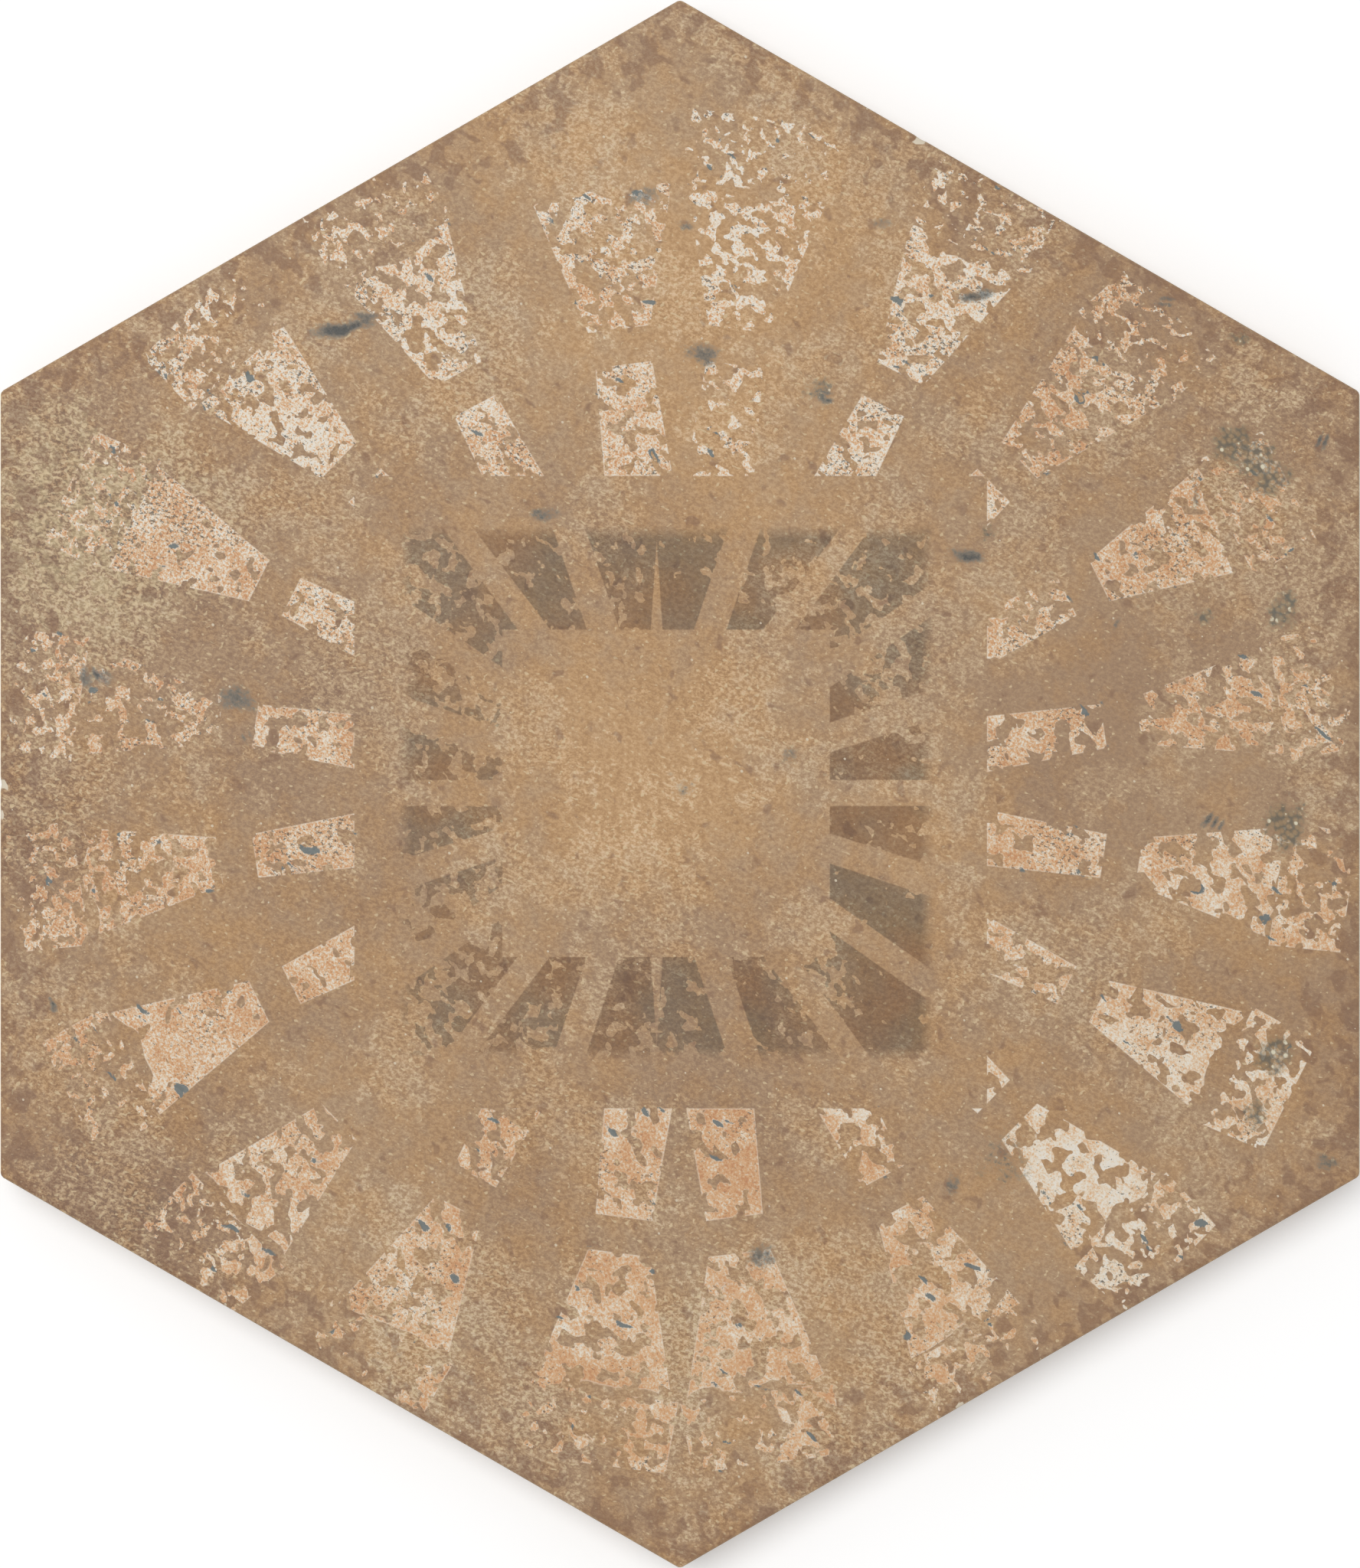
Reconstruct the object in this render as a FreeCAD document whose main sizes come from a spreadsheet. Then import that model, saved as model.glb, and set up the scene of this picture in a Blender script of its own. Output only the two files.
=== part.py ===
# Hexagon floor tile, dry-pressed and fired as one piece of porcelain stoneware.
#
# The tile lies face up with its back on the plane Z = 0. Two of its six sides face
# +X and -X, and two of its corners point along +Y and -Y. The face is flat, with a
# fine rounded arris. The flank drops straight from it and then draws in towards the
# back, so that the die lets go of the tile. The back is keyed for the adhesive by a
# honeycomb of shallow cells with sloping walls, between flat-topped ribs.

import FreeCAD, Part
import math
import os

import Sketcher

COS_30 = math.cos(math.radians(30))
TOLERANCE = 1e-4

# Driving dimensions, in millimetres and degrees
DIMENSIONS = {
    "across_flats": (175.0, "side to side of the face"),
    "thickness": (9.0, "back to face"),
    "flank_height": (4.5, "straight part of the side, below the face"),
    "back_inset": (0.7, "how far each side draws in between the flank and the back"),
    "back_arris": (0.5, "leg of the bevel round the back"),
    "land_corner": (0.4, "radius of the back's own corners, inside its bevel"),
    "face_arris": (0.5, "radius of the rounded edge round the face"),
    "cell_pitch": (16.5, "middle to middle of two honeycomb cells"),
    "rib_width": (2.4, "flat top of the rib between two cells"),
    "cell_depth": (0.8, "from the tops of the ribs to the floors of the cells"),
    "cell_draft": (35.0, "slope of the cells' walls, from upright"),
    "back_border": (5.0, "least plain land between the cells and the back's bevel"),
}


def make_sheet(doc):
    """The spreadsheet that holds the driving dimensions, one alias to a row."""
    sheet = doc.addObject("Spreadsheet::Sheet", "Dimensions")
    for row, (alias, (value, meaning)) in enumerate(DIMENSIONS.items(), start=1):
        sheet.set(f"A{row}", alias)
        sheet.set(f"B{row}", str(value))
        sheet.set(f"C{row}", meaning)
        sheet.setAlias(f"B{row}", alias)
    doc.recompute()
    return sheet


def origin_feature(body, role):
    """The plane or axis of the body's own origin that has this role."""
    return next(f for f in body.Origin.OriginFeatures if f.Role == role)


def edges_where(shape, chosen):
    """Names of the edges whose bounding box passes the test chosen."""
    return [
        f"Edge{number}"
        for number, edge in enumerate(shape.Edges, start=1)
        if chosen(edge.BoundBox)
    ]


def faces_where(shape, chosen):
    """Names of the faces whose bounding box passes the test chosen."""
    return [
        f"Face{number}"
        for number, face in enumerate(shape.Faces, start=1)
        if chosen(face.BoundBox)
    ]


def hexagon_sketch(body, name, flats, corner_angle, centre_y):
    """A regular hexagon on the XY plane, whose size is the expression flats.

    corner_angle is where its first corner lies, 0 or 90 degrees from +X, and centre_y
    is the expression for its middle's place on the Y axis. Six equal lines have their
    ends on a construction circle, so the one size across the flats drives them all.
    """
    sketch = body.newObject("Sketcher::SketchObject", name)
    sketch.AttachmentSupport = (origin_feature(body, "XY_Plane"), "")
    sketch.MapMode = "FlatFace"
    sketch.setExpression("AttachmentOffset.Base.y", centre_y)

    drawn_radius = 10.0
    centre = FreeCAD.Vector()
    corners = []
    for side in range(6):
        angle = math.radians(corner_angle + 60 * side)
        corners.append(FreeCAD.Vector(math.cos(angle), math.sin(angle), 0) * drawn_radius)
    for side in range(6):
        line = Part.LineSegment(corners[side], corners[(side + 1) % 6])
        sketch.addGeometry(line, False)
    outer_circle = Part.Circle(centre, FreeCAD.Vector(0, 0, 1), drawn_radius)
    circle = sketch.addGeometry(outer_circle, True)

    start, end, middle = 1, 2, 3
    root, x_axis, y_axis = -1, -1, -2
    for side in range(6):
        following = (side + 1) % 6
        sketch.addConstraint(Sketcher.Constraint("Coincident", side, end, following, start))
        sketch.addConstraint(Sketcher.Constraint("PointOnObject", side, start, circle))
        if side > 0:
            sketch.addConstraint(Sketcher.Constraint("Equal", 0, side))
    sketch.addConstraint(Sketcher.Constraint("Coincident", circle, middle, root, start))
    first_axis = x_axis if corner_angle == 0 else y_axis
    sketch.addConstraint(Sketcher.Constraint("PointOnObject", 0, start, first_axis))
    size = sketch.addConstraint(Sketcher.Constraint("Radius", circle, drawn_radius))
    sketch.renameConstraint(size, "corner_reach")
    sketch.setExpression("Constraints.corner_reach", f"({flats}) / 2 / cos(30)")
    return sketch


def add_edge_feature(body, kind, name, base, edge_names, size_property, expression):
    """A fillet or a chamfer on the named edges of base."""
    feature = body.newObject(kind, name)
    feature.Base = (base, edge_names)
    feature.setExpression(size_property, expression)
    body.Document.recompute()
    return feature


def make_lower_slab(body, sheet):
    """The lower half, from the back up to the flank's foot, with sides that draw in.

    The corners shrink as they draw in and are bevelled, so each is rounded by the
    sum of the inset, the bevel and the radius that is left on the back.
    """
    foot_height = f"({sheet.Name}.thickness - {sheet.Name}.flank_height)"
    outline = hexagon_sketch(
        body,
        "Outline",
        flats=f"{sheet.Name}.across_flats",
        corner_angle=90,
        centre_y="0 mm",
    )
    slab = body.newObject("PartDesign::Pad", "LowerSlab")
    slab.Profile = outline
    slab.setExpression("Length", foot_height)
    body.Document.recompute()

    upright = edges_where(slab.Shape, lambda box: box.ZLength > TOLERANCE)
    corners = add_edge_feature(
        body,
        "PartDesign::Fillet",
        "RoundCorners",
        slab,
        upright,
        "Radius",
        f"{sheet.Name}.land_corner + {sheet.Name}.back_arris + {sheet.Name}.back_inset",
    )

    drawn_in = body.newObject("PartDesign::Draft", "DrawnInBack")
    sides = faces_where(corners.Shape, lambda box: box.ZLength > TOLERANCE)
    drawn_in.Base = (corners, sides)
    flank_foot = faces_where(corners.Shape, lambda box: box.ZMin > TOLERANCE)
    drawn_in.NeutralPlane = (corners, flank_foot)
    drawn_in.setExpression("Angle", f"atan({sheet.Name}.back_inset / {foot_height})")
    drawn_in.Reversed = True
    body.Document.recompute()
    return drawn_in


def make_slab(body, sheet):
    """The tile before its cells are pressed in, from the back up to the face."""
    lower = make_lower_slab(body, sheet)
    flank = body.newObject("PartDesign::Pad", "Flank")
    flank.Profile = (lower, faces_where(lower.Shape, lambda box: box.ZMin > TOLERANCE))
    flank.setExpression("Length", f"{sheet.Name}.flank_height")
    body.Document.recompute()

    back_edges = edges_where(flank.Shape, lambda box: box.ZMax < TOLERANCE)
    bevelled = add_edge_feature(
        body,
        "PartDesign::Chamfer",
        "BackArris",
        flank,
        back_edges,
        "Size",
        f"{sheet.Name}.back_arris",
    )
    face_height = sheet.thickness
    face_edges = edges_where(
        bevelled.Shape, lambda box: box.ZMin > face_height - TOLERANCE
    )
    return add_edge_feature(
        body,
        "PartDesign::Fillet",
        "FaceArris",
        bevelled,
        face_edges,
        "Radius",
        f"{sheet.Name}.face_arris",
    )


def press_cell(body, sheet, name, centre_y):
    """One cell of the honeycomb on the Y axis, whose walls slope in to its floor."""
    outline = hexagon_sketch(
        body,
        f"{name}Outline",
        flats=f"{sheet.Name}.cell_pitch - {sheet.Name}.rib_width",
        corner_angle=0,
        centre_y=centre_y,
    )
    pocket = body.newObject("PartDesign::Pocket", name)
    pocket.Profile = outline
    pocket.Reversed = True
    pocket.Refine = False
    pocket.setExpression("Length", f"{sheet.Name}.cell_depth")
    body.Document.recompute()

    middle_y = outline.Placement.Base.y
    walls = faces_where(
        pocket.Shape,
        lambda box: abs(box.ZMin) < TOLERANCE
        and abs(box.ZMax - sheet.cell_depth) < TOLERANCE
        and abs(box.Center.y - middle_y) < sheet.cell_pitch / 2,
    )
    draft = body.newObject("PartDesign::Draft", f"{name}Draft")
    draft.Base = (pocket, walls)
    draft.NeutralPlane = (origin_feature(body, "XY_Plane"), [""])
    draft.Reversed = True
    draft.Refine = False
    draft.SupportTransform = True
    draft.setExpression("Angle", f"{sheet.Name}.cell_draft")
    body.Tip = draft
    body.Document.recompute()
    return draft


def ring_count(sheet):
    """How many rings of whole cells fit round the middle one, inside the border."""
    half_back = sheet.across_flats / 2 - sheet.back_inset - sheet.back_arris
    cell_corner_reach = (sheet.cell_pitch - sheet.rib_width) / 2 / COS_30
    room = half_back - sheet.back_border - cell_corner_reach
    return int(room / (sheet.cell_pitch * COS_30))


def row_guides(body):
    """A sketch of two construction lines: the way out from the middle, along +Y, and
    the way along a row, 120 degrees clockwise from it."""
    guides = body.newObject("Sketcher::SketchObject", "RowGuides")
    guides.AttachmentSupport = (origin_feature(body, "XY_Plane"), "")
    guides.MapMode = "FlatFace"
    outward_angle = 90
    for angle in (math.radians(outward_angle), math.radians(outward_angle - 120)):
        far_end = FreeCAD.Vector(math.cos(angle), math.sin(angle), 0)
        guides.addGeometry(Part.LineSegment(FreeCAD.Vector(), far_end), True)
    return guides


def press_honeycomb(body, sheet):
    """Presses the cells into the back: the middle one, and whole rings round it.

    The rings are three equal rhombuses of cells, a third of a turn apart. Each has
    as many rows as there are rings, with one cell more in a row than there are rows,
    and starts from the cell beside the middle one.
    """
    pitch = f"{sheet.Name}.cell_pitch"
    rings = ring_count(sheet)
    press_cell(body, sheet, "MiddleCell", centre_y="0 mm")
    first = press_cell(body, sheet, "FirstCell", centre_y=pitch)
    guides = row_guides(body)

    pattern = body.newObject("PartDesign::MultiTransform", "CellRings")
    pattern.Originals = [first]
    pattern.Refine = False
    rows = body.newObject("PartDesign::LinearPattern", "RowsOutward")
    rows.Direction = (guides, ["Axis0"])
    rows.setExpression("Length", f"{rings - 1} * {pitch}")
    rows.Occurrences = rings
    cells = body.newObject("PartDesign::LinearPattern", "CellsAlongRow")
    cells.Direction = (guides, ["Axis1"])
    cells.setExpression("Length", f"{rings} * {pitch}")
    cells.Occurrences = rings + 1
    thirds = body.newObject("PartDesign::PolarPattern", "ThreeRhombuses")
    thirds.Axis = (origin_feature(body, "Z_Axis"), [""])
    thirds.Angle = 360
    thirds.Occurrences = 3
    pattern.Transformations = [rows, cells, thirds]
    body.Tip = pattern
    body.Document.recompute()


def make_tile(doc, sheet):
    """The whole tile, as one body."""
    body = doc.addObject("PartDesign::Body", "Tile")
    body.Label = "hexagon_tile"
    slab = make_slab(body, sheet)
    press_honeycomb(body, sheet)
    if body.Shape.Volume >= slab.Shape.Volume:
        raise RuntimeError("the cells cut nothing from the back")
    return body


def check(doc, tile):
    """Stops unless every object built cleanly and the tile is one closed solid."""
    for item in doc.Objects:
        if {"Invalid", "Error"} & set(item.State):
            raise RuntimeError(f"{item.Name} failed: {item.State}")
    shape = tile.Shape
    if shape.isNull() or not shape.isValid() or len(shape.Solids) != 1:
        raise RuntimeError("the tile isn't one valid solid")


def main():
    doc = FreeCAD.newDocument("HexagonTile")
    sheet = make_sheet(doc)
    tile = make_tile(doc, sheet)
    check(doc, tile)
    os.makedirs("parts", exist_ok=True)
    tile.Shape.exportStep(f"parts/{tile.Label}.step")
    box = tile.Shape.optimalBoundingBox(False, False)
    print(
        f"tile {box.XLength:.2f} x {box.YLength:.2f} x {box.ZLength:.2f} mm,"
        f" {tile.Shape.Volume / 1000:.1f} cm3, {len(tile.Shape.Faces)} faces"
    )


main()
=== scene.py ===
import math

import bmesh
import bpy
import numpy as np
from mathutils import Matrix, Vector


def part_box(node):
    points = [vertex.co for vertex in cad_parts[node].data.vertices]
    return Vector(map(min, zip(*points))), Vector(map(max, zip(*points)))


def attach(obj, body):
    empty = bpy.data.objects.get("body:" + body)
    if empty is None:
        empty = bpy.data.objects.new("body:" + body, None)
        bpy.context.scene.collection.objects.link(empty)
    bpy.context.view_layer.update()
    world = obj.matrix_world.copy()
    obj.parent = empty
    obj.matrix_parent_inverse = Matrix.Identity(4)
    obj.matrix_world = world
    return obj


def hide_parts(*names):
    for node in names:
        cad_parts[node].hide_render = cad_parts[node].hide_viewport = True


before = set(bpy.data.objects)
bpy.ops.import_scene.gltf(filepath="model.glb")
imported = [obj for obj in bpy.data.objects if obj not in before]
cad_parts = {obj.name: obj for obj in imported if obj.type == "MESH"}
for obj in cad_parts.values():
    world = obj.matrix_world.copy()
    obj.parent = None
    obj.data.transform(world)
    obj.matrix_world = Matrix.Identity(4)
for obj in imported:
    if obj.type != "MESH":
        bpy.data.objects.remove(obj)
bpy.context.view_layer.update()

# A printed hexagon floor tile of pressed porcelain, lying face up, seen from straight above.
#
# The tile's own surface is worked out here at the sizes of the solid that it stands for, with
# the soft unevenness, nicked edge and rounded honeycomb that firing and wear leave on a real
# one. Two materials dress it: a matt printed glaze on the face, and bare biscuit elsewhere.
# Sizes are in millimetres until a mesh is made, with +X to a side and +Y to a corner.

MM = 0.001
NODE = "hexagon_tile"
PHOTO_WIDTH = 1776
PHOTO_HEIGHT = 2048

# The tile's sizes: the overall ones from the frame, the others as the solid has them
box_low, box_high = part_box(NODE)
ACROSS_FLATS = (box_high[0] - box_low[0]) / MM
THICKNESS = (box_high[2] - box_low[2]) / MM
PIXELS_PER_MM = PHOTO_WIDTH / ACROSS_FLATS
FLANK_HEIGHT = 4.5
BACK_INSET = 0.7
BACK_ARRIS = 0.5
FACE_ARRIS = 0.5
CORNER_RADIUS = 0.9
LEAST_CORNER_RADIUS = 0.3
CELL_PITCH = 16.5
RIB_WIDTH = 2.4
CELL_DEPTH = 0.8
CELL_DRAFT = math.radians(35)
CELL_RINGS = 5

# How finely the surface is divided: steps on one edge of a honeycomb cell, and on one side of
# the tile, where eleven such edges lie along the outer rim of the honeycomb
CELL_STEPS = 10
SIDE_STEPS = (2 * CELL_RINGS + 1) * CELL_STEPS
ROUND_STEPS = 6 * SIDE_STEPS
CORNER_STEPS = 8

# Stains on the face, by pixel of the photograph: column, row, half length along X, half length
# along Y, how dark, and how much of it is a crust of pale grains
STAINS = [
    (1610, 580, 24, 20, 0.7, 1), (1638, 600, 27, 24, 0.75, 1), (1664, 620, 20, 18, 0.7, 1),
    (1680, 1073, 17, 28, 0.85, 1), (1668, 1380, 22, 20, 0.6, 1), (1645, 1455, 16, 22, 0.4, 0.8),
    (448, 426, 32, 10, 1, 0), (472, 412, 14, 10, 0.85, 0), (919, 458, 21, 17, 0.75, 0.15),
    (1073, 515, 10, 9, 1, 0.1), (1068, 507, 26, 20, 0.45, 0.5), (1586, 1075, 17, 8, 0.9, 0),
    (308, 909, 24, 15, 0.55, 0), (1264, 728, 21, 13, 0.85, 0.1), (1290, 700, 16, 10, 0.4, 0.6),
    (112, 884, 12, 16, 0.75, 0.1), (136, 892, 24, 8, 0.75, 0), (709, 671, 21, 13, 0.85, 0.25),
    (1728, 583, 13, 6, 0.9, 0), (900, 290, 12, 10, 0.5, 0.1), (1560, 640, 12, 18, 0.55, 0.6),
    (1035, 985, 13, 9, 0.45, 0), (887, 1033, 17, 13, 0.30, 0.2), (62, 1320, 8, 8, 0.8, 0),
    (320, 955, 5, 5, 0.7, 0), (1245, 1550, 14, 20, 0.45, 0), (830, 257, 20, 12, 0.6, 0.1),
    (1278, 382, 30, 9, 0.75, 0),
    (1672, 795, 20, 26, 0.6, 0.7), (1569, 809, 9, 13, 0.5, 0.8), (1460, 809, 8, 8, 0.6, 0.3),
    (1519, 395, 14, 8, 0.7, 0.2), (1154, 291, 12, 9, 0.6, 0.1), (1310, 1510, 34, 42, 0.30, 0.3),
    (1737, 1527, 18, 12, 0.4, 0), (992, 1646, 14, 16, 0.65, 0), (1618, 434, 10, 14, 0.4, 0.7),
]

# The ground's zones: middle and radius in millimetres, and how much lighter, how much warmer
# and how much grainier than the rest each is at its middle
ZONES = [
    (0, 68, 38, 0.10, 0.55, 0.05), (12, 35, 30, 0.065, 0.35, 0), (-4, 0, 30, 0.055, 0.80, 0.1),
    (-30, 55, 26, 0.05, 0.20, 0.2), (55, 8, 32, -0.04, -0.25, -0.5), (50, 85, 26, -0.06, -0.1, 0.2),
    (74, 47, 22, 0.01, 0.05, 0.3), (-72, -58, 32, -0.10, -0.3, 0.4), (-82, -4, 18, -0.11, -0.1, 0.4),
    (60, -58, 34, 0.01, 0.05, -0.35), (0, -72, 32, 0.10, 0.30, 0.5), (84, -25, 26, -0.03, 0.1, -0.4),
    (-45, 12, 18, -0.03, -0.2, 0.1), (30, -84, 22, 0.06, 0.1, 0.4), (-76, 34, 34, 0.02, -0.45, 1),
    (-36, -74, 28, 0.09, -0.1, 0.5), (68, 35, 14, -0.01, 0.30, 0.3), (-38, 65, 18, -0.03, -0.2, 0),
    (62, 62, 20, -0.06, -0.15, -0.3), (64, -28, 20, -0.06, -0.05, 0), (-62, 4, 20, -0.03, -0.2, 0),
    (32, -4, 22, 0.07, 0.25, 0), (-42, 2, 12, 0.04, 0.1, 0),
]

# Unevenness of the face: the size, the height and the seed of each scale of noise, how far the
# face falls towards the arris and how wide that fall is, and how deep the darkest stain's pit is
FACE_WAVES = [(26, 0.060, 11), (7.5, 0.040, 12), (2.6, 0.018, 13)]
ARRIS_FALL = 0.09
ARRIS_FALL_WIDTH = 1.4
STAIN_PIT = 0.11

# How deep each of the two scales of roughness on the bare flank goes
FLANK_ROUGHNESS = 0.035

# Nicks in the edge: place counted in corners from the one at 30 degrees, radius and depth
NICKS = [(0.634, 0.9, 0.22), (2.50, 1.0, 0.22), (2.54, 0.7, 0.16), (4.42, 0.6, 0.10)]


def on_photo(column, row):
    """Millimetres in the tile's frame of a pixel of the photograph, whose middle is the tile's."""
    return (
        (column - PHOTO_WIDTH / 2) / PIXELS_PER_MM,
        (PHOTO_HEIGHT / 2 - row) / PIXELS_PER_MM,
    )


# The tile's surface


def toward(degrees):
    """Unit vectors at these angles, as an array whose last axis is x, y."""
    turn = np.radians(degrees)
    return np.stack([np.cos(turn), np.sin(turn)], axis=-1)


def soft_noise(x, y, size, seed):
    """Smooth random heights from -1 to 1: one value at each crossing of a square grid of that
    size, and between crossings a blend by the curve 3t^2 - 2t^3 each way."""
    heights = np.random.default_rng(seed).uniform(-1, 1, (256, 256))
    u = x / size + 128
    v = y / size + 128
    i = np.floor(u).astype(int)
    j = np.floor(v).astype(int)
    s = u - i
    t = v - j
    s = s * s * (3 - 2 * s)
    t = t * t * (3 - 2 * t)
    i0, i1, j0, j1 = i % 256, (i + 1) % 256, j % 256, (j + 1) % 256
    near = heights[i0, j0] * (1 - s) + heights[i1, j0] * s
    far = heights[i0, j1] * (1 - s) + heights[i1, j1] * s
    return near * (1 - t) + far * t


def outline(place, inset, rounding=1.0):
    """Points on the tile's outline, drawn in by inset: a hexagon whose corners are arcs.
    place counts corners round from the one at 30 degrees. Close to each whole number it walks
    the corner's arc at an even turn, and between them the straight side at an even pace.
    rounding fades the arcs out, so that 0 gives a sharp hexagon with even steps."""
    place, inset, rounding = np.broadcast_arrays(place, inset, rounding)
    corner = np.floor(place + 0.5)
    past = place - corner
    apothem = ACROSS_FLATS / 2 - inset
    radius = np.maximum(CORNER_RADIUS - inset, LEAST_CORNER_RADIUS) * rounding
    share = CORNER_STEPS / SIDE_STEPS / 2 * np.maximum(rounding, 1e-9)
    on_arc = np.clip(past / share, -1, 1)
    on_side = np.clip((np.abs(past) - share) / (0.5 - share), 0, 1)
    corner_angle = 30 + 60 * corner
    middle = toward(corner_angle) * ((apothem - radius) / math.cos(math.pi / 6))[..., None]
    arc = middle + toward(corner_angle + 30 * on_arc) * radius[..., None]
    side_middle = toward(corner_angle + 30 * np.sign(past)) * apothem[..., None]
    return arc + (side_middle - arc) * on_side[..., None]


def grid_quads(rows, columns, closed=False):
    """Corners of the quads between neighbouring rows and columns of a grid of points, by
    number, turning anticlockwise where columns run right and rows run up."""
    column = np.arange(columns if closed else columns - 1)
    after = (column + 1) % columns
    row = np.arange(rows - 1)[:, None] * columns
    quads = [row + column, row + after, row + columns + after, row + columns + column]
    return np.stack(quads, axis=-1).reshape(-1, 4)


def layered_noise(x, y, size, seed, layers):
    """Soft noise in layers, each half the size and half the height of the one before."""
    total = sum(0.5**k * soft_noise(x, y, size * 0.5**k, seed + k) for k in range(layers))
    return total / (2 - 0.5 ** (layers - 1))


def fall(away):
    """1 at the middle of a spot and 0 from its edge on, where away is 1, along the curve
    3t^2 - 2t^3."""
    t = np.clip(1 - away, 0, 1)
    return t * t * (3 - 2 * t)


def edge_distance(x, y):
    """How far a point is inside the outline: the half width less the greatest of its three
    distances along the directions that the sides face."""
    reach = np.abs(np.stack([x, y], axis=-1) @ toward(np.array([0, 60, 120])).T)
    return ACROSS_FLATS / 2 - reach.max(axis=-1)


def face_drop(x, y):
    """How far the face lies below its top plane: three scales of soft noise, a fall to the
    arris that dies away inwards, and a shallow pit under each stain."""
    drop = sum(height * (1 + soft_noise(x, y, size, seed)) / 2 for size, height, seed in FACE_WAVES)
    drop += ARRIS_FALL * np.exp(-np.maximum(edge_distance(x, y) - FACE_ARRIS, 0) / ARRIS_FALL_WIDTH)
    for column, row, half_x, half_y, dark, _ in STAINS:
        stain_x, stain_y = on_photo(column, row)
        away = np.hypot((x - stain_x) / half_x, (y - stain_y) / half_y) * PIXELS_PER_MM
        drop += STAIN_PIT * dark * np.exp(-2 * away**2) * (0.65 + 0.35 * soft_noise(x, y, 1.9, 14))
    return drop


def face_patch(quarter):
    """One of the three rhombuses that make up the face. a and b run along two of the hexagon's
    spokes. A point lies on the ring numbered by the greater of the two, at the place round it
    that the other gives, and the rings near the rim take up its rounded corners."""
    a, b = np.meshgrid(np.arange(SIDE_STEPS + 1), np.arange(SIDE_STEPS + 1), indexing="ij")
    ring = np.maximum(a, b)
    safe = np.maximum(ring, 1)
    place = 2 * quarter + np.where(a >= b, b / safe, 2 - a / safe)
    out = ring / SIDE_STEPS
    rounding = np.clip((out - 0.94) / 0.06, 0, 1)
    flat = outline(place, FACE_ARRIS, rounding) * out[..., None]
    x, y = flat[..., 0], flat[..., 1]
    z = THICKNESS - face_drop(x, y)
    points = np.stack([x, y, z], axis=-1).reshape(-1, 3)
    quads = grid_quads(SIDE_STEPS + 1, SIDE_STEPS + 1)[:, ::-1]
    return points, quads


def side_profile():
    """Inset and height of the section from the face's rim to the back: the arris is a quarter
    circle, then the flank drops straight, draws in, and ends in the bevel round the back."""
    turn = np.radians([0, 22.5, 45, 67.5, 90])
    arris = np.stack([FACE_ARRIS * (1 - np.sin(turn)), np.cos(turn) * FACE_ARRIS], axis=-1)
    arris[:, 1] += THICKNESS - FACE_ARRIS
    slope = np.array([-BACK_INSET, FLANK_HEIGHT])
    bevel_top = np.array([BACK_INSET, 0]) + BACK_ARRIS * slope / np.hypot(*slope)
    upper = [(0, 8.0), (0, 7.2), (0, 6.0), (0, FLANK_HEIGHT + 0.15)]
    crease = [(0.01, FLANK_HEIGHT - 0.15)]
    crease_middle = np.array([0, FLANK_HEIGHT])
    drawn = [bevel_top + share * (crease_middle - bevel_top) for share in (0.6, 0.3, 0)]
    bevel = [(BACK_INSET + BACK_ARRIS * 0.45, 0.16), (BACK_INSET + BACK_ARRIS, 0)]
    return np.array([*arris, *upper, *crease, *drawn, *bevel])


def side_patch():
    """The profile carried round the outline. Each point is the outline drawn in by the
    profile's inset, and soft noise along the way round roughens the flank, always inwards. The
    first row takes its height from the face, so that the two meet."""
    profile = side_profile()
    place = np.arange(ROUND_STEPS) / SIDE_STEPS
    inset, height = profile[:, :1], profile[:, 1:]
    flat = outline(place[None, :], inset)
    x, y = flat[..., 0], flat[..., 1]
    z = np.broadcast_to(height, x.shape).copy()
    drop = face_drop(x[0], y[0])
    top = THICKNESS - FACE_ARRIS
    z -= np.clip((z - top) / FACE_ARRIS, 0, 1) * drop[None, :]
    bare = np.clip(np.minimum((top - z) / 0.5, (z - 0.6) / 0.5), 0, 1)
    round_mm = place[None, :] * ACROSS_FLATS / math.sqrt(3)
    rough = 0.5 + 0.5 * soft_noise(round_mm, z, 3.0, 21)
    rough += 0.5 + 0.5 * soft_noise(round_mm, z * 2, 1.6, 22)
    pull = 1 - FLANK_ROUGHNESS * bare * rough / np.hypot(x, y)
    points = np.stack([x * pull, y * pull, z], axis=-1).reshape(-1, 3)
    return points, grid_quads(len(profile), ROUND_STEPS, closed=True)[:, ::-1]


def honeycomb_rim():
    """Points along the zigzag rim of the honeycomb, CELL_STEPS to an edge, starting opposite
    the tile's corner at 30 degrees. The rim's corners in one sixth are the two outer corners
    of each cell along that side and the first of the last cell's."""
    corner_radius = CELL_PITCH / math.sqrt(3)
    cell = np.arange(CELL_RINGS + 1)[:, None]
    centres = CELL_RINGS * CELL_PITCH * toward(30) + cell * CELL_PITCH * toward(150)
    outer = centres[:, None, :] + corner_radius * toward(np.array([60, 120]))[None]
    sixth = outer.reshape(-1, 2)[:-1]
    turned = [sixth @ np.stack([toward(60 * k), toward(60 * k + 90)]) for k in range(6)]
    corners = np.concatenate(turned)
    along = np.arange(ROUND_STEPS) / CELL_STEPS - 0.5
    before = np.floor(along).astype(int)
    part = (along - before)[:, None]
    count = len(corners)
    return corners[before % count] * (1 - part) + corners[(before + 1) % count] * part


def back_rise(x, y):
    """How far the back's high parts stand up from its plane: the fine roughness of pressed
    powder, which only ever lies above the plane that the tile rests on."""
    return 0.020 * (1 + soft_noise(x, y, 14, 31)) + 0.012 * (1 + soft_noise(x, y, 2.2, 32))


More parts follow.
